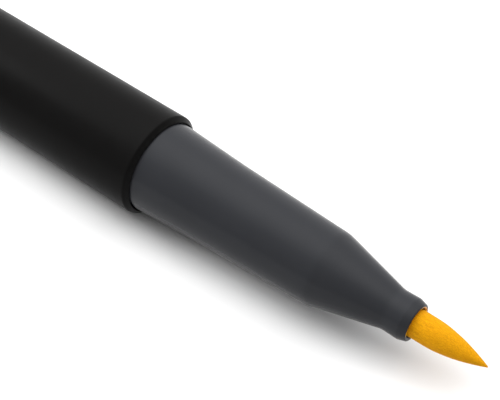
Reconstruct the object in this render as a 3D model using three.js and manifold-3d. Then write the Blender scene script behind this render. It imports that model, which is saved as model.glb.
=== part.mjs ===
// Calligraphy marker with a felt brush nib, uncapped, its cap posted on the tail.
// Millimetres, +Z up. The pen lies along X with its nib towards +X, resting on Z = 0.
// Inside each piece's own outline, x is measured from the barrel's front rim towards the nib.

import * as THREE from 'three';
import { mergeVertices } from 'three/addons/utils/BufferGeometryUtils.js';
import Module from 'manifold-3d';

const wasm = await Module();
wasm.setup();

// ---------- facets ----------
const bodySides = 48;
const coreSides = 24;
const roundingSteps = 4;

// ---------- barrel ----------
const barrelDiameter = 12.0;
const barrelLength = 58.5;
const barrelMouthWall = 0.58;
const barrelBevelLength = 0.55;
const barrelMouthFace = 0.08;
const barrelWall = 1.0;
const barrelShoulderRounding = 0.3;
const tailPostLength = 15.5;
const tailPostWall = 0.85;
const shoulderThickness = 1.5;
const barrelRibCount = 4;
const barrelRibWidth = 0.7;
const barrelRibFrontInset = 4.0;

// ---------- front section ----------
const gripFrontDiameter = 8.56;
const gripLength = 22.5;
const gripShoulderRounding = 4.0;
const coneLength = 8.0;
const neckDiameter = 4.64;
const neckBlendRadius = 2.4;
const lipDiameter = 4.74;
const lipLength = 2.8;
const lipTaperLength = 0.9;
const lipFrontDiameter = 4.2;
const lipRounding = 0.6;
const lipEdgeRounding = 0.14;
const lipMouthChamfer = 0.12;
const collarDepth = 1.5;
const spigotLength = 9.0;
const spigotWall = 1.0;
const spigotBeadHeight = 0.05;
const spigotBeadLength = 0.8;
const sectionBoreTaper = 3.0;
const nibRibCount = 6;
const nibRibWidth = 0.5;
const nibVentDepth = 0.08;

// ---------- nib ----------
const nibDiameter = 3.1;
const nibLength = 40.0;
const nibExposed = 8.3;
const nibPointLength = 6.6;
const nibPointPower = 1.75;
const nibTipRadius = 0.07;
const nibPointSteps = 9;

// ---------- ink store ----------
const nibSocketDepth = 7.0;
const filmThickness = 0.12;
const filmSetback = 1.2;

// ---------- tail plug ----------
const plugFlangeThickness = 1.0;
const plugSkirtLength = 5.0;
const plugSkirtWall = 0.9;
const plugEdgeRounding = 0.3;

// ---------- cap ----------
const capWall = 0.55;
const capMouthRounding = 0.15;
const capEndRounding = 0.5;
const capShelfThickness = 1.2;
const capShelfWidth = 0.75;
const capEndWall = 0.85;
const capEndSpace = 5.2;
const clutchRibCount = 6;
const clutchRibWidth = 0.6;
const clutchRibLength = 12.0;
const clutchRibInset = 1.0;

const sealConeInset = 1.5;
const sealHeadroom = 3.2;
const sealFlangeInset = 4.6;
const sealWall = 0.7;
const sealEndThickness = 0.8;
const sealFlangeThickness = 1.0;
const sealMouthChamfer = 0.35;

const endPlugThickness = 1.6;
const endPlugProud = 0.3;
const endPlugSkirtLength = 3.0;
const endPlugSkirtWall = 0.9;
const endPlugRounding = 0.25;

const clipLength = 33.0;
const clipWidth = 3.2;
const clipThickness = 1.2;
const clipStandoff = 1.0;
const clipRootLength = 4.0;
const clipRootInset = 2.0;
const clipBeadLength = 2.4;
const clipBeadGap = 0.15;
const clipTableClearance = 0.04;

// ---------- fits ----------
const slipFit = 0.08;
const pressFit = 0.03;
const seamGap = 0.05;
const postedGap = 0.15;
const endPlay = 0.4;
const mouthGap = 0.1;
const filmGap = 0.1;
const clutchGap = 0.2;

// ---------- values that follow from the sizes above ----------
const barrelRadius = barrelDiameter / 2;
const barrelMouthBore = barrelRadius - barrelMouthWall;
const barrelBore = barrelRadius - barrelWall;
const restFlat = barrelRadius * Math.cos(Math.PI / bodySides);

const gripRearRadius = barrelMouthBore - mouthGap;
const spigotRadius = barrelBore - pressFit - spigotBeadHeight;
const spigotBore = spigotRadius - spigotWall;
const neckStart = gripLength + coneLength;
const lipFront = neckStart + lipLength;

const nibRadius = nibDiameter / 2;
const nibTip = lipFront + nibExposed;
const nibRear = nibTip - nibLength;
const nibRibRadius = nibRadius + slipFit;
const nibVentRadius = nibRibRadius + nibVentDepth;

const capRadius = barrelRadius;
const capBore = capRadius - capWall;
const capMouth = -barrelLength - postedGap;
const sealMouth = capMouth - gripLength - sealConeInset;
const sealClosedEnd = capMouth - nibTip - sealHeadroom;
const capShelfRear = sealClosedEnd + sealFlangeInset + sealFlangeThickness + seamGap;
const capShelfFront = capShelfRear + capShelfThickness;
const capShelfBore = capBore - capShelfWidth;
const capEnd = sealClosedEnd - capEndSpace;
const capEndBore = capRadius - capEndWall;
const sealRadius = capShelfBore - slipFit;
const sealBore = sealRadius - sealWall;
const clipOuter = capRadius + clipStandoff + clipThickness;

const tailPostRadius = capBore - clutchGap;
const tailBore = tailPostRadius - tailPostWall;
const tailEnd = -barrelLength - tailPostLength;
const plugSkirtRear = tailEnd + plugFlangeThickness - seamGap;
const plugSkirtFront = plugSkirtRear + plugSkirtLength;
const clutchRibRadius = tailPostRadius + slipFit;

const filmOuter = spigotBore - filmGap;
const filmInner = filmOuter - filmThickness;
const reservoirRadius = filmInner - pressFit;
const reservoirFront = nibRear + nibSocketDepth - endPlay;
const reservoirRear = plugSkirtFront + endPlay;
const sectionCavityEnd = reservoirFront + endPlay;
const barrelRibRadius = filmOuter + slipFit;

// ---------- materials ----------
const barrelBlack = { color: 0x1b1b1b, roughness: 0.42, metalness: 0 };
const sectionGrey = { color: 0x3a3a3e, roughness: 0.34, metalness: 0 };
const inkYellow = { color: 0xf3ab16, roughness: 0.85, metalness: 0 };
const colourCodeYellow = { color: 0xe0a015, roughness: 0.4, metalness: 0 };
const fibreYellow = { color: 0xd9b45a, roughness: 0.95, metalness: 0 };
const filmClear = { color: 0xd8d8d4, roughness: 0.25, metalness: 0 };
const sealNatural = { color: 0xcfcfc8, roughness: 0.5, metalness: 0 };

// ---------- helpers ----------

// Turns corners [x, radius, rounding] into outline points, with an arc at each rounded corner.
function outline(corners) {
  const points = [];
  corners.forEach(([x, radius, rounding = 0], index) => {
    const corner = new THREE.Vector2(x, radius);
    if (rounding === 0) {
      points.push(corner);
      return;
    }
    const before = new THREE.Vector2(corners[index - 1][0], corners[index - 1][1]);
    const after = new THREE.Vector2(corners[index + 1][0], corners[index + 1][1]);
    const toBefore = before.sub(corner).normalize();
    const toAfter = after.sub(corner).normalize();
    const halfAngle = toBefore.angleTo(toAfter) / 2;
    const bisector = toBefore.clone().add(toAfter).normalize();
    const centre = corner.clone().addScaledVector(bisector, rounding / Math.sin(halfAngle));
    const start = corner.clone().addScaledVector(toBefore, rounding / Math.tan(halfAngle));
    const end = corner.clone().addScaledVector(toAfter, rounding / Math.tan(halfAngle));
    const spoke = start.clone().sub(centre);
    const sweep = Math.atan2(spoke.cross(end.clone().sub(centre)), spoke.dot(end.clone().sub(centre)));
    for (let step = 0; step <= roundingSteps; step += 1) {
      points.push(start.clone().rotateAround(centre, (sweep * step) / roundingSteps));
    }
  });
  return points;
}

// Drops normals and texture coordinates, joins shared vertices and removes collapsed triangles.
function weld(geometry) {
  const bare = geometry.index ? geometry.toNonIndexed() : geometry.clone();
  bare.deleteAttribute('normal');
  bare.deleteAttribute('uv');
  const merged = mergeVertices(bare);
  const corners = merged.index.array;
  const kept = [];
  for (let first = 0; first < corners.length; first += 3) {
    const [a, b, c] = corners.slice(first, first + 3);
    if (a !== b && b !== c && c !== a) {
      kept.push(a, b, c);
    }
  }
  merged.setIndex(kept);
  return merged;
}

// Spins an outline of [x, radius] points round the X axis, with a flat facet facing down.
function turned(points, sides) {
  const profile = points.map((point) => new THREE.Vector2(point.y, point.x));
  const halfFacet = Math.PI / sides;
  const geometry = new THREE.LatheGeometry(profile, sides, halfFacet, Math.PI * 2);
  geometry.rotateZ(-Math.PI / 2);
  return weld(geometry);
}

function toSolid(geometry) {
  const welded = weld(geometry);
  return new wasm.Manifold(new wasm.Mesh({
    numProp: 3,
    vertProperties: new Float32Array(welded.attributes.position.array),
    triVerts: new Uint32Array(welded.index.array),
  }));
}

function toGeometry(solid) {
  const mesh = solid.getMesh();
  const geometry = new THREE.BufferGeometry();
  geometry.setAttribute('position', new THREE.BufferAttribute(mesh.vertProperties, 3));
  geometry.setIndex(new THREE.BufferAttribute(mesh.triVerts, 1));
  return geometry;
}

// A straight rib along X between two radii, turned about the X axis to its place.
function rib(rear, front, inner, outer, width, angle) {
  const bar = new THREE.BoxGeometry(front - rear, width, outer - inner);
  bar.translate((front + rear) / 2, 0, (outer + inner) / 2);
  bar.rotateX(angle);
  return toSolid(bar);
}

function withRibs(body, count, rear, front, inner, outer, width) {
  let solid = body;
  for (let index = 0; index < count; index += 1) {
    const angle = (index * Math.PI * 2) / count;
    solid = solid.add(rib(rear, front, inner, outer, width, angle));
  }
  return solid;
}

function piece(name, geometry, look) {
  geometry.computeVertexNormals();
  const mesh = new THREE.Mesh(geometry, new THREE.MeshStandardMaterial(look));
  mesh.name = name;
  return mesh;
}

// ---------- pieces ----------

// Tube with a thin bevelled mouth, a reduced post at the tail and ribs that centre the ink store.
function barrelTube() {
  const shell = turned(outline([
    [tailEnd + plugFlangeThickness, tailBore],
    [tailEnd + plugFlangeThickness, tailPostRadius],
    [-barrelLength, tailPostRadius],
    [-barrelLength, barrelRadius, barrelShoulderRounding],
    [-barrelBevelLength, barrelRadius],
    [0, barrelMouthBore + barrelMouthFace],
    [0, barrelMouthBore],
    [-collarDepth, barrelMouthBore],
    [-collarDepth, barrelBore],
    [-barrelLength + shoulderThickness, barrelBore],
    [-barrelLength + shoulderThickness, tailBore],
    [tailEnd + plugFlangeThickness, tailBore],
  ]), bodySides);
  const ribFront = -collarDepth - spigotLength - barrelRibFrontInset;
  const ribRear = -barrelLength + shoulderThickness / 2;
  const ribRoot = barrelBore + barrelWall / 2;
  const ribbed = withRibs(
    toSolid(shell), barrelRibCount, ribRear, ribFront, barrelRibRadius, ribRoot, barrelRibWidth,
  );
  return piece('barrel_tube', toGeometry(ribbed), barrelBlack);
}

// Grip, cone and lipped nose in one moulding, with a spigot that presses into the barrel.
function frontSection() {
  const spigotRear = -collarDepth - spigotLength;
  const collarRear = -collarDepth + seamGap;
  const beadFront = spigotRear + spigotLength / 2;
  const beadRear = beadFront - spigotBeadLength;
  const beadRadius = spigotRadius + spigotBeadHeight;
  const boreTaperEnd = sectionCavityEnd + sectionBoreTaper;
  const shell = turned(outline([
    [spigotRear, spigotBore],
    [spigotRear, spigotRadius],
    [beadRear, spigotRadius],
    [beadRear, beadRadius],
    [beadFront, beadRadius],
    [beadFront, spigotRadius],
    [collarRear, spigotRadius],
    [collarRear, gripRearRadius],
    [0, gripRearRadius],
    [gripLength, gripFrontDiameter / 2, gripShoulderRounding],
    [neckStart, neckDiameter / 2, neckBlendRadius],
    [lipFront - lipTaperLength, lipDiameter / 2, lipRounding],
    [lipFront, lipFrontDiameter / 2, lipEdgeRounding],
    [lipFront, nibVentRadius + lipMouthChamfer],
    [lipFront - lipMouthChamfer, nibVentRadius],
    [boreTaperEnd, nibVentRadius],
    [sectionCavityEnd, spigotBore],
    [spigotRear, spigotBore],
  ]), bodySides);
  const ribFront = lipFront - lipMouthChamfer * 2;
  const ribRoot = nibVentRadius + nibVentDepth;
  const ribbed = withRibs(
    toSolid(shell), nibRibCount, boreTaperEnd + seamGap, ribFront, nibRibRadius, ribRoot, nibRibWidth,
  );
  return piece('front_section', toGeometry(ribbed), sectionGrey);
}

// Radius of the brush point at a distance behind its very tip.
function pointRadius(distance) {
  const fullness = 1 - (1 - distance / nibPointLength) ** nibPointPower;
  return nibTipRadius + (nibRadius - nibTipRadius) * fullness;
}

// Felt rod pointed at both ends, so that it can be pulled out and turned round when worn.
function brushNib() {
  const points = [new THREE.Vector2(nibRear, 0)];
  for (let step = 0; step <= nibPointSteps; step += 1) {
    const distance = nibPointLength * (step / nibPointSteps) ** 2;
    points.push(new THREE.Vector2(nibRear + distance, pointRadius(distance)));
  }
  for (let step = nibPointSteps; step >= 0; step -= 1) {
    const distance = nibPointLength * (step / nibPointSteps) ** 2;
    points.push(new THREE.Vector2(nibTip - distance, pointRadius(distance)));
  }
  points.push(new THREE.Vector2(nibTip, 0));
  return piece('brush_nib', turned(points, coreSides), inkYellow);
}

// Fibre rod that holds the ink, with a socket in its front face for the back of the nib.
function inkReservoir() {
  const socketRadius = nibRadius + slipFit;
  const rod = turned(outline([
    [reservoirRear, 0],
    [reservoirRear, reservoirRadius],
    [reservoirFront, reservoirRadius],
    [reservoirFront, socketRadius],
    [reservoirFront - nibSocketDepth, socketRadius],
    [reservoirFront - nibSocketDepth, 0],
  ]), coreSides);
  return piece('ink_reservoir', rod, fibreYellow);
}

// Thin film sleeve round the fibre rod.
function reservoirFilm() {
  const sleeve = turned(outline([
    [reservoirRear + filmSetback, filmInner],
    [reservoirRear + filmSetback, filmOuter],
    [reservoirFront - filmSetback, filmOuter],
    [reservoirFront - filmSetback, filmInner],
    [reservoirRear + filmSetback, filmInner],
  ]), coreSides);
  return piece('reservoir_film', sleeve, filmClear);
}

// Plug that closes the back of the barrel, with a skirt that grips the tail bore.
function tailPlug() {
  const skirtRadius = tailBore - pressFit;
  const skirtBore = skirtRadius - plugSkirtWall;
  const plug = turned(outline([
    [tailEnd, 0],
    [tailEnd, tailPostRadius, plugEdgeRounding],
    [plugSkirtRear, tailPostRadius],
    [plugSkirtRear, skirtRadius],
    [plugSkirtFront, skirtRadius],
    [plugSkirtFront, skirtBore],
    [plugSkirtRear, skirtBore],
    [plugSkirtRear, 0],
  ]), bodySides);
  return piece('tail_plug', plug, barrelBlack);
}

// Side outline of the pocket clip: a root on the cap, a long free arm and a bead at its end.
function clipBar() {
  const rootEnd = capEnd + clipRootInset;
  const armEnd = rootEnd + clipLength;
  const buried = capRadius - capWall / 2;
  const side = new THREE.Shape();
  side.moveTo(rootEnd, buried);
  side.lineTo(rootEnd, clipOuter - clipThickness / 2);
  side.lineTo(rootEnd + clipThickness / 2, clipOuter);
  side.lineTo(armEnd - clipBeadLength, clipOuter);
  side.lineTo(armEnd, clipOuter - clipThickness / 2);
  side.lineTo(armEnd - clipBeadLength / 2, capRadius + clipBeadGap);
  side.lineTo(armEnd - clipBeadLength, clipOuter - clipThickness);
  side.lineTo(rootEnd + clipRootLength, clipOuter - clipThickness);
  side.lineTo(rootEnd + clipRootLength, buried);
  side.closePath();
  const bar = new THREE.ExtrudeGeometry(side, { depth: clipWidth, bevelEnabled: false });
  bar.translate(0, 0, -clipWidth / 2);
  bar.rotateX(Math.PI / 2);
  return bar;
}

// Turn about X, from straight up, that brings the clip's lower corner down to the table.
function clipTurn() {
  const cornerReach = Math.hypot(clipOuter, clipWidth / 2);
  const cornerAngle = Math.atan2(clipWidth / 2, clipOuter);
  const drop = Math.asin((restFlat - clipTableClearance) / cornerReach);
  return -Math.PI / 2 - (drop - cornerAngle);
}

// Cap tube, open at the mouth and at the colour-coded end, with a shelf for the inner seal.
function capShell() {
  const shell = turned(outline([
    [capEnd, capEndBore],
    [capEnd, capRadius, capEndRounding],
    [capMouth, capRadius, capMouthRounding],
    [capMouth, capBore],
    [capShelfFront, capBore],
    [capShelfFront, capShelfBore],
    [capShelfRear, capShelfBore],
    [capShelfRear, capEndBore],
    [capEnd, capEndBore],
  ]), bodySides);
  const ribFront = capMouth - clutchRibInset;
  const ribRoot = capBore + capWall / 2;
  const ribbed = withRibs(
    toSolid(shell), clutchRibCount, ribFront - clutchRibLength, ribFront,
    clutchRibRadius, ribRoot, clutchRibWidth,
  );
  const clip = clipBar();
  clip.rotateX(clipTurn());
  return piece('cap_shell', toGeometry(ribbed.add(toSolid(clip))), barrelBlack);
}

// Soft inner cup that closes on the section's cone and keeps the nib from drying.
function capInnerSeal() {
  const flangeFront = capShelfRear - seamGap;
  const flangeRear = flangeFront - sealFlangeThickness;
  const flangeRadius = capEndBore - slipFit;
  const cup = turned(outline([
    [sealClosedEnd, 0],
    [sealClosedEnd, sealRadius, sealWall],
    [flangeRear, sealRadius],
    [flangeRear, flangeRadius],
    [flangeFront, flangeRadius],
    [flangeFront, sealRadius],
    [sealMouth, sealRadius],
    [sealMouth, sealBore + sealMouthChamfer],
    [sealMouth - sealMouthChamfer, sealBore],
    [sealClosedEnd + sealEndThickness, sealBore],
    [sealClosedEnd + sealEndThickness, 0],
  ]), bodySides);
  return piece('cap_inner_seal', cup, sealNatural);
}

// Ink-coloured disc that closes the cap, with a skirt that grips the cap's end bore.
function capEndPlug() {
  const face = capEnd - endPlugProud;
  const back = face + endPlugThickness;
  const radius = capEndBore - pressFit;
  const disc = turned(outline([
    [face, 0],
    [face, radius, endPlugRounding],
    [back + endPlugSkirtLength, radius],
    [back + endPlugSkirtLength, radius - endPlugSkirtWall],
    [back, radius - endPlugSkirtWall],
    [back, 0],
  ]), bodySides);
  return piece('cap_end_plug', disc, colourCodeYellow);
}

// ---------- assembly ----------
const marker = new THREE.Group();
marker.add(
  barrelTube(),
  frontSection(),
  brushNib(),
  inkReservoir(),
  reservoirFilm(),
  tailPlug(),
  capShell(),
  capInnerSeal(),
  capEndPlug(),
);

// The origin is under the middle of the full-width barrel, on the facet that the pen rests on.
marker.position.set(barrelLength / 2, 0, restFlat);

export default marker;
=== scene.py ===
"""A calligraphy marker on a pale table, its nib bare and its cap posted on the tail.

Outlines are in millimetres: x from the barrel's front rim towards the nib, then a radius.
"""

import math

import bmesh
import bpy
from mathutils import Matrix, Vector, noise


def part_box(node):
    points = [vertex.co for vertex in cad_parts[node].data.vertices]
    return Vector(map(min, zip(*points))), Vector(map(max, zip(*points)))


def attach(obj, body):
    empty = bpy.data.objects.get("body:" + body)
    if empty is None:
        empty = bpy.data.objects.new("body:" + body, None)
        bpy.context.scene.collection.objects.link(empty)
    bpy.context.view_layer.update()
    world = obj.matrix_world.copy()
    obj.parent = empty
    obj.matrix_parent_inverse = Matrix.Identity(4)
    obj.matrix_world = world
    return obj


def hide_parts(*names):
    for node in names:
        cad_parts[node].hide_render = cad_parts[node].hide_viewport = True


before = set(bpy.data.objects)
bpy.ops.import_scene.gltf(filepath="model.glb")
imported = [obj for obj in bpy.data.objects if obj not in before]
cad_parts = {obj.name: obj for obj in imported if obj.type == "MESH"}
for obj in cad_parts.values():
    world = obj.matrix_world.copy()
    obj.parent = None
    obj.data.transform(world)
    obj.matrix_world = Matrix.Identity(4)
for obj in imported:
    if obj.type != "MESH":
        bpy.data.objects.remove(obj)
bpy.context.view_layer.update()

MM = 0.001

# ---------- fits and gaps between the pieces ----------

PRESS_FIT = 0.03
SLIP_FIT = 0.08
SPIGOT_FIT = 0.08
SEAM_GAP = 0.05
MOUTH_GAP = 0.1
POSTED_GAP = 0.15
END_PLAY = 0.4

# ---------- places taken from the frame ----------

barrel_low, barrel_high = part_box("barrel_tube")
RIM_X = barrel_high.x
AXIS_Z = (barrel_low.z + barrel_high.z) / 2


def span(node):
    """Lowest and highest x of a CAD node, in millimetres from the barrel's front rim."""
    low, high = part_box(node)
    return (low.x - RIM_X) / MM, (high.x - RIM_X) / MM


BARREL_RADIUS = (barrel_high.z - barrel_low.z) / 2 / MM
BARREL_TAIL = span("barrel_tube")[0]
CAP_END, CAP_MOUTH = span("cap_shell")
SHOULDER = CAP_MOUTH + POSTED_GAP
SPIGOT_REAR, LIP_FRONT = span("front_section")
NIB_REAR, NIB_TIP = span("brush_nib")
CORE_REAR, CORE_FRONT = span("ink_reservoir")
FILM_REAR, FILM_FRONT = span("reservoir_film")
PLUG_REAR, PLUG_FRONT = span("tail_plug")
LINER_END, LINER_MOUTH = span("cap_inner_seal")
DISC_FACE, DISC_FRONT = span("cap_end_plug")

# ---------- camera ----------

CAMERA_AZIMUTH = math.radians(38.35)
CAMERA_ELEVATION = math.radians(50.0)
CAMERA_LENS = 100.0
CAMERA_DISTANCE = 151.57
CAMERA_AIM_FROM_RIM = (9.09, 3.91, -2.47)


def add_camera():
    data = bpy.data.cameras.new("camera")
    data.lens = CAMERA_LENS
    data.sensor_width = 36.0
    data.clip_start = 0.01
    camera = bpy.data.objects.new("camera", data)
    bpy.context.scene.collection.objects.link(camera)
    back = Vector((
        math.cos(CAMERA_ELEVATION) * math.sin(CAMERA_AZIMUTH),
        -math.cos(CAMERA_ELEVATION) * math.cos(CAMERA_AZIMUTH),
        math.sin(CAMERA_ELEVATION),
    ))
    aim = Vector((RIM_X, 0, AXIS_Z)) + Vector(CAMERA_AIM_FROM_RIM) * MM
    camera.location = aim + back * CAMERA_DISTANCE * MM
    camera.rotation_euler = (math.pi / 2 - CAMERA_ELEVATION, 0, CAMERA_AZIMUTH)
    bpy.context.scene.camera = camera


add_camera()

# ---------- mesh helpers ----------

ROUNDING_STEPS = 8
SHARP_ANGLE = math.radians(32)


def outline(corners):
    """Turns corners (x, radius, rounding, rib radius) into points (x, radius, rib radius), with arcs."""
    points = []
    filled = [tuple(corner) + (0, None)[len(corner) - 2:] for corner in corners]
    for index, (x, radius, rounding, rib) in enumerate(filled):
        corner = Vector((x, radius))
        if rounding == 0:
            points.append((x, radius, rib))
            continue
        to_before = (Vector(filled[index - 1][:2]) - corner).normalized()
        to_after = (Vector(filled[(index + 1) % len(filled)][:2]) - corner).normalized()
        half = to_before.angle(to_after) / 2
        centre = corner + (to_before + to_after).normalized() * rounding / math.sin(half)
        start = corner + to_before * rounding / math.tan(half) - centre
        end = corner + to_after * rounding / math.tan(half) - centre
        sweep = math.atan2(start.x * end.y - start.y * end.x, start.dot(end))
        for step in range(ROUNDING_STEPS + 1):
            angle = sweep * step / ROUNDING_STEPS
            turned = Matrix.Rotation(angle, 2) @ start + centre
            points.append((turned.x, turned.y, rib))
    return points


def to_row(x, radius, angle):
    """A point of the row frame, in metres, from a place along the pen and round its axis."""
    return Vector((
        RIM_X + x * MM, -radius * math.sin(angle) * MM, AXIS_Z + radius * math.cos(angle) * MM,
    ))


def finish_mesh(name, mesh_builder):
    bmesh.ops.recalc_face_normals(mesh_builder, faces=mesh_builder.faces)
    mesh = bpy.data.meshes.new(name)
    mesh_builder.to_mesh(mesh)
    mesh_builder.free()
    mesh.shade_smooth()
    mesh.set_sharp_from_angle(angle=SHARP_ANGLE)
    piece = bpy.data.objects.new(name, mesh)
    bpy.context.scene.collection.objects.link(piece)
    return piece


def revolve(name, points, sides, ribs=0, rib_width=0.0, relief=None):
    """Spins outline points round the pen's axis. Points on the axis become poles, and an
    outline with none is closed on itself. Relief moves a point along its radius."""
    builder = bmesh.new()
    rings = []
    for x, radius, rib in points:
        if radius == 0:
            rings.append([builder.verts.new(to_row(x, 0, 0))])
            continue
        ring = []
        for side in range(sides):
            angle = 2 * math.pi * side / sides
            reach = radius
            if rib is not None:
                pitch = 2 * math.pi / ribs
                off_rib = abs((angle + pitch / 2) % pitch - pitch / 2) * radius
                reach = rib if off_rib <= rib_width / 2 else radius
            if relief is not None:
                reach += relief(x, reach, angle)
            ring.append(builder.verts.new(to_row(x, reach, angle)))
        rings.append(ring)
    pairs = list(zip(rings, rings[1:]))
    if len(rings[0]) > 1:
        pairs.append((rings[-1], rings[0]))
    for one, two in pairs:
        for side in range(sides):
            after = (side + 1) % sides
            if len(one) == 1:
                builder.faces.new((one[0], two[side], two[after]))
            elif len(two) == 1:
                builder.faces.new((one[side], two[0], one[after]))
            else:
                builder.faces.new((one[side], two[side], two[after], one[after]))
    return finish_mesh(name, builder)


# ---------- material helpers ----------


class Finish:
    """A node material with a Principled shader, built from short calls."""

    def __init__(self, name):
        self.material = bpy.data.materials.new(name)
        self.material.use_nodes = True
        self.tree = self.material.node_tree
        self.tree.nodes.clear()
        self.shader = self.tree.nodes.new("ShaderNodeBsdfPrincipled")
        out = self.tree.nodes.new("ShaderNodeOutputMaterial")
        self.tree.links.new(self.shader.outputs["BSDF"], out.inputs["Surface"])
        place = self.tree.nodes.new("ShaderNodeTexCoord")
        self.place = place.outputs["Object"]

    def fill(self, socket, value):
        if isinstance(value, bpy.types.NodeSocket):
            self.tree.links.new(value, socket)
        else:
            socket.default_value = value

    def maths(self, operation, *values, clamp=False):
        node = self.tree.nodes.new("ShaderNodeMath")
        node.operation = operation
        node.use_clamp = clamp
        for socket, value in zip(node.inputs, values):
            self.fill(socket, value)
        return node.outputs["Value"]

    def stretched(self, scale):
        node = self.tree.nodes.new("ShaderNodeMapping")
        self.fill(node.inputs["Vector"], self.place)
        node.inputs["Scale"].default_value = scale
        return node.outputs["Vector"]

    def noise(self, grain, detail=3.0, rough=0.5, stretch=(1.0, 1.0, 1.0)):
        """Noise whose features are about grain millimetres across, divided by stretch."""
        node = self.tree.nodes.new("ShaderNodeTexNoise")
        self.fill(node.inputs["Vector"], self.stretched(stretch))
        node.inputs["Scale"].default_value = 1 / (grain * MM)
        node.inputs["Detail"].default_value = detail
        node.inputs["Roughness"].default_value = rough
        return node.outputs["Fac"]

    def specks(self, spacing, size):
        """1 inside small round specks scattered about spacing millimetres apart."""
        node = self.tree.nodes.new("ShaderNodeTexVoronoi")
        self.fill(node.inputs["Vector"], self.place)
        node.inputs["Scale"].default_value = 1 / (spacing * MM)
        near = self.maths("LESS_THAN", node.outputs["Distance"], size / spacing)
        picked = self.maths("GREATER_THAN", self.noise(spacing * 3), 0.56)
        return self.maths("MULTIPLY", near, picked)

    def ramp(self, value, low, high, out_low=0.0, out_high=1.0):
        node = self.tree.nodes.new("ShaderNodeMapRange")
        node.interpolation_type = "SMOOTHSTEP"
        node.clamp = True
        for key, amount in (
            ("Value", value), ("From Min", low), ("From Max", high),
            ("To Min", out_low), ("To Max", out_high),
        ):
            self.fill(node.inputs[key], amount)
        return node.outputs["Result"]

    def mix(self, amount, colour_a, colour_b):
        node = self.tree.nodes.new("ShaderNodeMix")
        node.data_type = "RGBA"
        self.fill(node.inputs[0], amount)
        for socket, colour in ((node.inputs[6], colour_a), (node.inputs[7], colour_b)):
            self.fill(socket, colour if isinstance(colour, bpy.types.NodeSocket) else (*colour, 1.0))
        return node.outputs[2]

    def along(self):
        """Millimetres from the barrel's front rim towards the nib."""
        node = self.tree.nodes.new("ShaderNodeSeparateXYZ")
        self.fill(node.inputs[0], self.place)
        self.across = node.outputs["Y"], node.outputs["Z"]
        return self.maths("DIVIDE", self.maths("SUBTRACT", node.outputs["X"], RIM_X), MM)

    def radius(self):
        """Millimetres from the pen's axis. Call along() first."""
        y, z = self.across
        height = self.maths("SUBTRACT", z, AXIS_Z)
        squares = self.maths("ADD", self.maths("MULTIPLY", y, y), self.maths("MULTIPLY", height, height))
        return self.maths("DIVIDE", self.maths("SQRT", squares), MM)

    def band(self, value, centre, half_width):
        """1 at a value, falling to 0 at half_width on either side of it."""
        distance = self.maths("ABSOLUTE", self.maths("SUBTRACT", value, centre))
        return self.ramp(distance, half_width, 0.0)

    def bump(self, height, depth, strength=1.0, under=None):
        """Raises the surface by up to depth millimetres where height is 1."""
        node = self.tree.nodes.new("ShaderNodeBump")
        node.inputs["Strength"].default_value = strength
        node.inputs["Distance"].default_value = depth * MM
        self.fill(node.inputs["Height"], height)
        if under is not None:
            self.fill(node.inputs["Normal"], under)
        return node.outputs["Normal"]

    def use(self, **inputs):
        for key, value in inputs.items():
            socket = self.shader.inputs[key.replace("_", " ")]
            if socket.type == "RGBA" and not isinstance(value, bpy.types.NodeSocket):
                value = (*value, 1.0)
            self.fill(socket, value)
        return self.material


# ---------- materials ----------

BLACK_DEEP = (0.0058, 0.0056, 0.0055)
BLACK_PALE = (0.0074, 0.0072, 0.0071)
BLACK_RUBBED = (0.016, 0.016, 0.0155)
BLACK_DUST = (0.12, 0.12, 0.115)
GREY_DEEP = (0.0278, 0.0290, 0.0326)
GREY_PALE = (0.0318, 0.0330, 0.0372)
GREY_DUST = (0.15, 0.15, 0.15)
# Ink stain in the nib's mouth. The deep colour is painted shade of the gap round the nib, and the edge
# colour is bright yellow ink.
STAIN_IN_PAINTED_SHADE = (0.22, 0.06, 0.003)
STAIN_EDGE = (0.82, 0.42, 0.004)
STAIN_REACH = (1.86, 1.96)
# Felt colour for the low places between fibres: painted shade.
FELT_IN_PAINTED_SHADE = (0.51, 0.205, 0.0022)
FELT_PALE = (0.75, 0.355, 0.005)
FELT_SOAKED = (0.66, 0.285, 0.003)
FELT_SHEEN = (1.0, 0.62, 0.1)


def black_plastic(name, edges):
    """Satin black moulding: fine spark-eroded grain, faint cloudiness, dust and rubbed edges."""
    finish = Finish(name)
    along = finish.along()
    cloud = finish.noise(9.0, 2.0)
    grain = finish.noise(0.09, 2.0, 0.6)
    dust = finish.specks(1.3, 0.025)
    colour = finish.mix(cloud, BLACK_DEEP, BLACK_PALE)
    worn = 0.0
    for place in edges:
        worn = finish.maths("ADD", worn, finish.band(along, place, 0.5), clamp=True)
    rubbed = finish.maths("MULTIPLY", worn, finish.ramp(finish.noise(0.5), 0.42, 0.7))
    colour = finish.mix(finish.maths("MULTIPLY", rubbed, 0.35), colour, BLACK_RUBBED)
    colour = finish.mix(finish.maths("MULTIPLY", dust, 0.5), colour, BLACK_DUST)
    rough = finish.ramp(finish.noise(1.6, 4.0), 0.3, 0.7, 0.30, 0.37)
    rough = finish.maths("SUBTRACT", rough, finish.maths("MULTIPLY", rubbed, 0.08))
    normal = finish.bump(grain, 0.004, 0.5)
    normal = finish.bump(finish.noise(2.4, 2.0), 0.012, 0.4, normal)
    return finish.use(Base_Color=colour, Roughness=rough, Normal=normal, Specular_IOR_Level=0.024)


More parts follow.
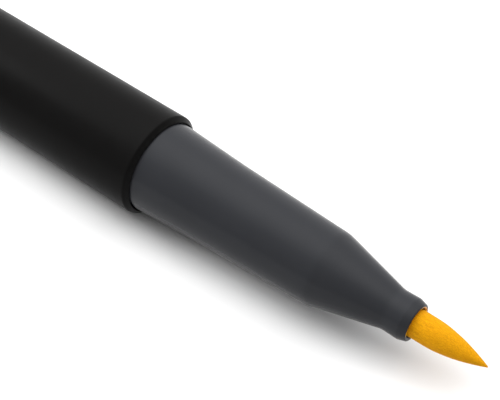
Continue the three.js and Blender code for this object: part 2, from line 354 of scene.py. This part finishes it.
def grey_plastic():
    """Smoother grey moulding with flow clouding and with ink and painted shade in the nib's mouth."""
    finish = Finish("section_grey_moulding")
    along = finish.along()
    radius = finish.radius()
    cloud = finish.noise(5.0, 3.0)
    colour = finish.mix(cloud, GREY_DEEP, GREY_PALE)
    dust = finish.specks(1.7, 0.012)
    colour = finish.mix(finish.maths("MULTIPLY", dust, 0.3), colour, GREY_DUST)
    # Ink stain in the nib's mouth, upper half only: bright yellow ink at the lip edge, and deeper in a
    # dark colour as painted shade of the gap round the nib.
    wet = finish.noise(0.35, 3.0)
    inside = finish.maths("LESS_THAN", radius, finish.ramp(wet, 0.3, 0.7, *STAIN_REACH))
    deep = finish.ramp(along, LIP_FRONT - 2.5, LIP_FRONT - 1.2)
    stain_and_painted_shade = finish.maths("MULTIPLY", inside, deep)
    height = finish.maths("DIVIDE", finish.maths("SUBTRACT", finish.across[1], AXIS_Z), MM)
    stain_and_painted_shade = finish.maths("MULTIPLY", stain_and_painted_shade, finish.ramp(height, -0.4, 0.2))
    edge = finish.ramp(along, LIP_FRONT - 0.3, LIP_FRONT - 0.05)
    colour = finish.mix(stain_and_painted_shade, colour, finish.mix(edge, STAIN_IN_PAINTED_SHADE, STAIN_EDGE))
    rough = finish.ramp(finish.noise(1.1, 4.0), 0.3, 0.7, 0.19, 0.25)
    normal = finish.bump(finish.noise(0.12, 2.0), 0.002, 0.4)
    normal = finish.bump(finish.noise(2.2, 2.0), 0.01, 0.4, normal)
    return finish.use(Base_Color=colour, Roughness=rough, Normal=normal, Specular_IOR_Level=0.074)


def felt():
    """Ink-soaked felt: fibres along the nib, paler where they stand up and darker between them as painted
    shade.
    """
    finish = Finish("nib_yellow_felt")
    fibre = finish.noise(0.07, 4.0, 0.65, (0.12, 1.0, 1.0))
    tuft = finish.noise(0.10, 3.0, 0.6)
    soak = finish.noise(1.8, 3.0)
    # The same noise drives the fibre bumps, so the felt is painted darker where the fibres sink, as
    # painted shade between them.
    mixed = finish.maths("ADD", finish.maths("MULTIPLY", fibre, 0.6), finish.maths("MULTIPLY", tuft, 0.4))
    colour = finish.mix(finish.ramp(mixed, 0.35, 0.65), FELT_IN_PAINTED_SHADE, FELT_PALE)
    colour = finish.mix(finish.ramp(soak, 0.4, 0.7, 0.0, 0.35), colour, FELT_SOAKED)
    normal = finish.bump(fibre, 0.02, 0.8)
    normal = finish.bump(tuft, 0.012, 0.6, normal)
    rough = finish.ramp(tuft, 0.3, 0.7, 0.72, 0.9)
    return finish.use(
        Base_Color=colour, Roughness=rough, Normal=normal, Specular_IOR_Level=0.06,
        Sheen_Weight=0.04, Sheen_Roughness=0.5, Sheen_Tint=FELT_SHEEN,
        Subsurface_Weight=0.1, Subsurface_Radius=(1.0, 0.5, 0.1), Subsurface_Scale=0.2 * MM,
    )


def plain_plastic(name, pale, deep, rough_low, rough_high, grain=0.3, **extra):
    """A moulding or fibre with cloudy colour, uneven gloss and a fine surface grain."""
    finish = Finish(name)
    colour = finish.mix(finish.noise(2.5, 3.0), pale, deep)
    rough = finish.ramp(finish.noise(0.9, 4.0), 0.3, 0.7, rough_low, rough_high)
    normal = finish.bump(finish.noise(grain, 3.0), 0.01, 0.5)
    return finish.use(Base_Color=colour, Roughness=rough, Normal=normal, **extra)


# ---------- barrel ----------

BODY_SIDES = 192
MOUTH_WALL = 0.58
BARREL_WALL = 1.0
MOUTH_BORE = BARREL_RADIUS - MOUTH_WALL
BARREL_BORE = BARREL_RADIUS - BARREL_WALL
COLLAR_DEPTH = 1.5
TAIL_POST = 5.25
TAIL_BORE = 4.40
CORE_SUPPORT = 3.90
SHOULDER_WALL = 1.5
RIB_FRONT = -14.5
RIB_FRONT_RAMP = 0.6
RIB_REAR_RAMP = 0.2
RIM_BEVEL = 0.55
RIM_FACE = 0.08


def barrel_moulding():
    step_front = SHOULDER + SHOULDER_WALL
    points = outline([
        (BARREL_TAIL, TAIL_BORE, 0.1),
        (BARREL_TAIL, TAIL_POST, 0.12),
        (SHOULDER, TAIL_POST, 0.1),
        (SHOULDER, BARREL_RADIUS, 0.3),
        (-RIM_BEVEL, BARREL_RADIUS, 0.3),
        (0, MOUTH_BORE + RIM_FACE, 0.05),
        (0, MOUTH_BORE, 0.03),
        (-COLLAR_DEPTH, MOUTH_BORE, 0.05),
        (-COLLAR_DEPTH, BARREL_BORE, 0.05),
        (RIB_FRONT, BARREL_BORE),
        (RIB_FRONT - RIB_FRONT_RAMP, BARREL_BORE, 0, CORE_SUPPORT),
        (step_front + RIB_REAR_RAMP, BARREL_BORE, 0, CORE_SUPPORT),
        (step_front, BARREL_BORE),
        (step_front, TAIL_BORE, 0.1),
    ])
    piece = revolve("barrel_moulding", points, BODY_SIDES, ribs=4, rib_width=0.7)
    piece.data.materials.append(black_plastic("barrel_satin_black", (0, SHOULDER)))
    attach(piece, "pen")
    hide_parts("barrel_tube")


SKIRT_WALL = 0.9
PLUG_FLANGE = 0.95
PLUG_DISH_DEPTH = 0.25
PLUG_DISH_RADIUS = 3.1
PLUG_DISH_RIM = 3.35


def tail_plug_moulding():
    skirt = TAIL_BORE - PRESS_FIT
    skirt_bore = skirt - SKIRT_WALL
    flange = PLUG_REAR + PLUG_FLANGE
    points = outline([
        (PLUG_REAR + PLUG_DISH_DEPTH, 0),
        (PLUG_REAR + PLUG_DISH_DEPTH, PLUG_DISH_RADIUS, 0.2),
        (PLUG_REAR, PLUG_DISH_RIM, 0.2),
        (PLUG_REAR, TAIL_POST, 0.3),
        (flange, TAIL_POST, 0.06),
        (flange, skirt, 0.05),
        (PLUG_FRONT, skirt, 0.15),
        (PLUG_FRONT, skirt_bore, 0.15),
        (flange, skirt_bore, 0.2),
        (flange, 0),
    ])
    piece = revolve("tail_plug_moulding", points, BODY_SIDES)
    piece.data.materials.append(black_plastic("plug_satin_black", (PLUG_REAR,)))
    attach(piece, "pen")
    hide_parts("tail_plug")


# ---------- front section ----------

SPIGOT_BORE = 3.92
BEAD_HEIGHT = 0.05
BEAD_LENGTH = 0.8
BEAD_RAMP = 0.2
BEAD_FRONT_INSET = 4.5
DRAFT = 0.01
GRIP_REAR = MOUTH_BORE - MOUTH_GAP
GRIP_WAIST = 4.80
GRIP_WAIST_X = 8.4
GRIP_FRONT = 4.27
GRIP_LENGTH = 22.5
NECK_START = 30.5
NECK = 2.32
LIP = 2.37
LIP_EDGE = 2.10
LIP_TAPER = 0.9
MOUTH_CHAMFER = 0.11
NIB_GUIDE = 1.63
NIB_VENT = 1.71
GUIDE_FRONT_SETBACK = 0.32
GUIDE_REAR_SETBACK = 0.05
GUIDE_RAMP = 0.25
BORE_TAPER = 3.0


def section_moulding():
    spigot = BARREL_BORE - SPIGOT_FIT
    collar_rear = -COLLAR_DEPTH + SEAM_GAP
    bead = spigot + BEAD_HEIGHT
    bead_front = SPIGOT_REAR + BEAD_FRONT_INSET
    cavity_end = CORE_FRONT + END_PLAY
    taper_end = cavity_end + BORE_TAPER
    guide_rear = taper_end + GUIDE_REAR_SETBACK
    guide_front = LIP_FRONT - GUIDE_FRONT_SETBACK
    points = outline([
        (SPIGOT_REAR, SPIGOT_BORE, 0.1),
        (SPIGOT_REAR, spigot, 0.2),
        (bead_front - BEAD_LENGTH, spigot),
        (bead_front - BEAD_LENGTH + BEAD_RAMP, bead, 0.1),
        (bead_front - BEAD_RAMP, bead, 0.1),
        (bead_front, spigot),
        (collar_rear, spigot, 0.04),
        (collar_rear, GRIP_REAR + DRAFT, 0.05),
        (0, GRIP_REAR),
        (GRIP_WAIST_X, GRIP_WAIST, 60.0),
        (GRIP_LENGTH, GRIP_FRONT, 4.0),
        (NECK_START, NECK, 2.4),
        (LIP_FRONT - LIP_TAPER, LIP, 0.6),
        (LIP_FRONT, LIP_EDGE, 0.14),
        (LIP_FRONT, NIB_VENT + MOUTH_CHAMFER, 0.03),
        (LIP_FRONT - MOUTH_CHAMFER, NIB_VENT, 0.03),
        (guide_front, NIB_VENT),
        (guide_front - GUIDE_RAMP, NIB_VENT, 0, NIB_GUIDE),
        (guide_rear + GUIDE_RAMP, NIB_VENT, 0, NIB_GUIDE),
        (guide_rear, NIB_VENT),
        (taper_end, NIB_VENT + DRAFT),
        (cavity_end, SPIGOT_BORE, 0.3),
    ])
    piece = revolve("section_moulding", points, BODY_SIDES, ribs=6, rib_width=0.5)
    piece.data.materials.append(grey_plastic())
    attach(piece, "pen")
    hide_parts("front_section")


# ---------- nib ----------

NIB_RADIUS = 1.55
NIB_POINT = 6.6
NIB_FULLNESS = 1.75
NIB_TIP_RADIUS = 0.07
NIB_SIDES = 128
NIB_POINT_STEPS = 46
NIB_POINT_SPREAD = 1.7
NIB_SHANK_STEPS = 60


def point_radius(distance):
    """Radius of the brush point at a distance behind its very tip."""
    share = 1 - (1 - distance / NIB_POINT) ** NIB_FULLNESS
    return NIB_TIP_RADIUS + (NIB_RADIUS - NIB_TIP_RADIUS) * share


def fibre_relief(x, radius, angle):
    """Bundles of fibre stand a little proud of the felt, fading out at the tips."""
    place = Vector((x * 0.9, math.cos(angle) * 9.0, math.sin(angle) * 9.0))
    fine = Vector((x * 3.0, math.cos(angle) * 26.0, math.sin(angle) * 26.0))
    lift = noise.noise(place) * 0.012 + noise.noise(fine) * 0.008
    return lift * min(1.0, radius / NIB_RADIUS)


def felt_nib():
    point = []
    for step in range(NIB_POINT_STEPS + 1):
        distance = NIB_POINT * (step / NIB_POINT_STEPS) ** NIB_POINT_SPREAD
        point.append((distance, point_radius(distance)))
    shank = NIB_TIP - NIB_REAR - 2 * NIB_POINT
    points = [(NIB_REAR, 0, None)]
    points += [(NIB_REAR + distance, radius, None) for distance, radius in point]
    points += [
        (NIB_REAR + NIB_POINT + shank * step / NIB_SHANK_STEPS, NIB_RADIUS, None)
        for step in range(1, NIB_SHANK_STEPS)
    ]
    points += [(NIB_TIP - distance, radius, None) for distance, radius in reversed(point)]
    points.append((NIB_TIP, 0, None))
    piece = revolve("felt_nib", points, NIB_SIDES, relief=fibre_relief)
    piece.data.materials.append(felt())
    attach(piece, "nib")
    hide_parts("brush_nib")


# ---------- ink store ----------

STORE_SIDES = 96
CORE_RADIUS = 3.67
SOCKET_DEPTH = 7.0
FILM_BORE = 3.70
FILM_THICKNESS = 0.12


def fibre_core():
    socket = NIB_RADIUS + SLIP_FIT
    points = outline([
        (CORE_REAR, 0),
        (CORE_REAR, CORE_RADIUS, 0.15),
        (CORE_FRONT, CORE_RADIUS, 0.15),
        (CORE_FRONT, socket, 0.2),
        (CORE_FRONT - SOCKET_DEPTH, socket, 0.3),
        (CORE_FRONT - SOCKET_DEPTH, 0),
    ])
    piece = revolve("fibre_core", points, STORE_SIDES)
    piece.data.materials.append(plain_plastic(
        "ink_soaked_fibre", (0.62, 0.36, 0.05), (0.5, 0.26, 0.02), 0.85, 0.98, grain=0.1,
    ))
    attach(piece, "pen")
    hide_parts("ink_reservoir")


def core_film():
    points = outline([
        (FILM_REAR, FILM_BORE, 0.03),
        (FILM_REAR, FILM_BORE + FILM_THICKNESS, 0.03),
        (FILM_FRONT, FILM_BORE + FILM_THICKNESS, 0.03),
        (FILM_FRONT, FILM_BORE, 0.03),
    ])
    piece = revolve("core_film", points, STORE_SIDES)
    piece.data.materials.append(plain_plastic(
        "clear_film", (0.8, 0.8, 0.78), (0.7, 0.7, 0.66), 0.2, 0.35, Transmission_Weight=0.5,
    ))
    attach(piece, "pen")
    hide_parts("reservoir_film")


# ---------- cap ----------

CAP_BORE = 5.45
CAP_END_BORE = 5.15
SHELF_BORE = 4.70
CLUTCH_RIB_INSET = 1.0
CLUTCH_RIB_LENGTH = 12.0
CLUTCH_RIB_RAMP = 0.4
SHELF_REAR = -97.80
SHELF_FRONT = -96.60


def cap_moulding():
    rib_front = CAP_MOUTH - CLUTCH_RIB_INSET
    rib_rear = rib_front - CLUTCH_RIB_LENGTH
    clutch = TAIL_POST + SLIP_FIT
    points = outline([
        (CAP_END, CAP_END_BORE, 0.08),
        (CAP_END, BARREL_RADIUS, 0.5),
        (CAP_MOUTH, BARREL_RADIUS, 0.15),
        (CAP_MOUTH, CAP_BORE, 0.12),
        (rib_front, CAP_BORE),
        (rib_front - CLUTCH_RIB_RAMP, CAP_BORE, 0, clutch),
        (rib_rear + CLUTCH_RIB_RAMP, CAP_BORE, 0, clutch),
        (rib_rear, CAP_BORE),
        (SHELF_FRONT, CAP_BORE, 0.2),
        (SHELF_FRONT, SHELF_BORE, 0.1),
        (SHELF_REAR, SHELF_BORE, 0.05),
        (SHELF_REAR, CAP_END_BORE, 0.05),
    ])
    piece = revolve("cap_moulding", points, BODY_SIDES, ribs=6, rib_width=0.6)
    piece.data.materials.append(CAP_BLACK)
    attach(piece, "cap")
    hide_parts("cap_shell")


CLIP_LENGTH = 33.0
CLIP_WIDTH = 3.2
CLIP_THICKNESS = 1.2
CLIP_OUTER = 8.2
CLIP_ROOT_INSET = 2.0
CLIP_ROOT_LENGTH = 4.0
CLIP_BEAD_LENGTH = 2.4
CLIP_BEAD_GAP = 0.16
CLIP_BEAD_RAMP = 0.6
CLIP_ROOT_RAMP = 0.3
CLIP_BURIED = 0.3
CLIP_ROOT_DROP = 0.15
CLIP_NOSE_DROP = 0.05
CLIP_TIP_DROP = 0.75
CLIP_NOSE_LENGTH = 1.2
CLIP_EDGE = 0.32
CLIP_TABLE_CLEARANCE = 0.02


def clip_angle():
    """Turn from straight up that brings the clip's rounded lower edge down to the table."""
    rest = AXIS_Z / MM - CLIP_TABLE_CLEARANCE - CLIP_EDGE
    reach = math.hypot(CLIP_OUTER - CLIP_EDGE, CLIP_WIDTH / 2 - CLIP_EDGE)
    corner = math.atan2(CLIP_WIDTH / 2 - CLIP_EDGE, CLIP_OUTER - CLIP_EDGE)
    return -math.pi / 2 - (math.asin(rest / reach) - corner)


def cap_clip():
    """Arm with a raised root and a rounded bead, moulded on the cap and crowned along its top."""
    root = CAP_END + CLIP_ROOT_INSET
    tip = root + CLIP_LENGTH
    under = CLIP_OUTER - CLIP_THICKNESS
    buried = BARREL_RADIUS - CLIP_BURIED
    side = outline([
        (root, buried),
        (root, CLIP_OUTER - CLIP_ROOT_DROP, 1.2),
        (root + CLIP_LENGTH / 2, CLIP_OUTER, 200.0),
        (tip - CLIP_NOSE_LENGTH, CLIP_OUTER - CLIP_NOSE_DROP, 1.5),
        (tip, CLIP_OUTER - CLIP_TIP_DROP, 0.6),
        (tip - CLIP_BEAD_LENGTH / 2, BARREL_RADIUS + CLIP_BEAD_GAP, 0.7),
        (tip - CLIP_BEAD_LENGTH - CLIP_BEAD_RAMP, under, 1.0),
        (root + CLIP_ROOT_LENGTH, under, 0.6),
        (root + CLIP_ROOT_LENGTH + CLIP_ROOT_RAMP, buried),
    ])
    builder = bmesh.new()
    turn = Matrix.Rotation(clip_angle(), 4, "X")
    near = [
        builder.verts.new((RIM_X + x * MM, -CLIP_WIDTH / 2 * MM, height * MM))
        for x, height, _ in side
    ]
    face = builder.faces.new(near)
    grown = bmesh.ops.extrude_face_region(builder, geom=[face])["geom"]
    moved = [item for item in grown if isinstance(item, bmesh.types.BMVert)]
    bmesh.ops.translate(builder, verts=moved, vec=(0, CLIP_WIDTH * MM, 0))
    flanks = [item for item in builder.faces if len(item.verts) > 4]
    rims = {edge for flank in flanks for edge in flank.edges}
    bmesh.ops.bevel(
        builder, geom=list(rims), offset=CLIP_EDGE * MM, segments=5, profile=0.5,
        affect="EDGES", clamp_overlap=True,
    )
    for vert in builder.verts:
        vert.co = turn @ vert.co + Vector((0, 0, AXIS_Z))
    piece = finish_mesh("cap_clip", builder)
    piece.data.materials.append(CAP_BLACK)
    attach(piece, "cap")
    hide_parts("cap_shell")


LINER_SIDES = 128
LINER_WALL = 0.7
LINER_FLOOR = 0.8
LINER_FLANGE = 1.0
LINER_CHAMFER = 0.35


def cap_liner():
    outer = SHELF_BORE - SLIP_FIT
    bore = outer - LINER_WALL
    floor = LINER_END + LINER_FLOOR
    flange_front = SHELF_REAR - SEAM_GAP
    flange_rear = flange_front - LINER_FLANGE
    flange = CAP_END_BORE - SLIP_FIT
    points = outline([
        (LINER_END, 0),
        (LINER_END, outer, 0.7),
        (flange_rear, outer, 0.08),
        (flange_rear, flange, 0.12),
        (flange_front, flange, 0.05),
        (flange_front, outer, 0.02),
        (LINER_MOUTH, outer, 0.12),
        (LINER_MOUTH, bore + LINER_CHAMFER, 0.08),
        (LINER_MOUTH - LINER_CHAMFER, bore, 0.1),
        (floor, bore, 0.6),
        (floor, 0),
    ])
    piece = revolve("cap_liner", points, LINER_SIDES)
    piece.data.materials.append(plain_plastic(
        "natural_liner", (0.66, 0.66, 0.62), (0.56, 0.56, 0.51), 0.38, 0.5, Subsurface_Weight=0.2,
        Subsurface_Scale=1.0 * MM,
    ))
    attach(piece, "cap")
    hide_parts("cap_inner_seal")


DISC_THICKNESS = 1.6
DISC_DISH_DEPTH = 0.18
DISC_DISH_EDGE_DEPTH = 0.12
DISC_DISH_RADIUS = 3.6
DISC_DISH_RIM = 4.0


def cap_colour_disc():
    radius = CAP_END_BORE - PRESS_FIT
    skirt_bore = radius - SKIRT_WALL
    back = DISC_FACE + DISC_THICKNESS
    points = outline([
        (DISC_FACE + DISC_DISH_DEPTH, 0),
        (DISC_FACE + DISC_DISH_EDGE_DEPTH, DISC_DISH_RADIUS, 1.0),
        (DISC_FACE, DISC_DISH_RIM, 0.3),
        (DISC_FACE, radius, 0.25),
        (DISC_FRONT, radius, 0.15),
        (DISC_FRONT, skirt_bore, 0.15),
        (back, skirt_bore, 0.2),
        (back, 0),
    ])
    piece = revolve("cap_colour_disc", points, BODY_SIDES)
    piece.data.materials.append(plain_plastic(
        "colour_code_yellow", (0.72, 0.37, 0.012), (0.64, 0.31, 0.008), 0.34, 0.44,
    ))
    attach(piece, "cap")
    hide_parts("cap_end_plug")


CAP_BLACK = black_plastic("cap_satin_black", (CAP_MOUTH, CAP_END))

barrel_moulding()
tail_plug_moulding()
section_moulding()
felt_nib()
fibre_core()
core_film()
cap_moulding()
cap_clip()
cap_liner()
cap_colour_disc()

# ---------- table and light ----------


def add_table():
    builder = bmesh.new()
    bmesh.ops.create_grid(builder, x_segments=4, y_segments=4, size=3.0)
    mesh = bpy.data.meshes.new("table")
    builder.to_mesh(mesh)
    builder.free()
    table = bpy.data.objects.new("table", mesh)
    bpy.context.scene.collection.objects.link(table)
    finish = Finish("table_white")
    finish.use(Base_Color=(0.86, 0.86, 0.86), Roughness=0.7, Specular_IOR_Level=0.2)
    table.data.materials.append(finish.material)


TENT_RADIUS = 0.5
TENT_LENGTH = 0.7
TENT_CENTRE_FROM_RIM = -0.095
TENT_STRIPS = 12
TENT_GLOW = 3.5
TENT_BACK_GLOW = 1.5
TENT_RISE = (42, 98)
TENT_FALL = (100, 145)
SIDE_SOFTBOX_PLACE = (-0.5, -0.13, 0.42)
SIDE_SOFTBOX_SIZE = 0.3
SIDE_SOFTBOX_POWER = 2.6
WORLD_GLOW = 0.17


def eased(value, low, high):
    share = min(max((value - low) / (high - low), 0.0), 1.0)
    return share * share * (3 - 2 * share)


def tent_glow(angle):
    """Brightness at an angle in degrees, from the horizon in front of the pen over to the back."""
    rise = eased(angle, *TENT_RISE)
    fall = eased(angle, *TENT_FALL)
    return TENT_GLOW * rise + (TENT_BACK_GLOW - TENT_GLOW) * fall


def add_lamp(name, place, turn, size, power):
    data = bpy.data.lights.new(name, "AREA")
    data.shape = "RECTANGLE"
    data.size, data.size_y = size
    data.energy = power
    lamp = bpy.data.objects.new(name, data)
    lamp.location = place
    lamp.rotation_euler = turn
    bpy.context.scene.collection.objects.link(lamp)


def add_tent(middle):
    """A diffusing tent over the pen: dim in front, bright overhead and behind."""
    step = math.pi / TENT_STRIPS
    height = 2 * TENT_RADIUS * math.tan(step / 2)
    for index in range(TENT_STRIPS):
        angle = (index + 0.5) * step
        place = middle + Vector((0, -math.cos(angle), math.sin(angle))) * TENT_RADIUS
        turn = (math.pi / 2 - angle, 0, 0)
        power = tent_glow(math.degrees(angle)) * math.pi * TENT_LENGTH * height
        add_lamp(f"tent_strip_{index + 1}", place, turn, (TENT_LENGTH, height), power)


def add_side_softbox(middle):
    """Fills the pen's shadow from beyond the tail, where no flank reflects it."""
    place = Vector(SIDE_SOFTBOX_PLACE)
    turn = (place - middle).to_track_quat("Z", "Y").to_euler()
    size = (SIDE_SOFTBOX_SIZE, SIDE_SOFTBOX_SIZE)
    add_lamp("side_softbox", place, turn, size, SIDE_SOFTBOX_POWER)


def add_light():
    middle = Vector((RIM_X + TENT_CENTRE_FROM_RIM, 0, AXIS_Z))
    add_tent(middle)
    add_side_softbox(middle)
    world = bpy.data.worlds.new("studio")
    bpy.context.scene.world = world
    world.use_nodes = True
    world.node_tree.nodes["Background"].inputs["Color"].default_value = (1, 1, 1, 1)
    world.node_tree.nodes["Background"].inputs["Strength"].default_value = WORLD_GLOW


add_table()
add_light()
bpy.context.scene.view_settings.view_transform = "Standard"
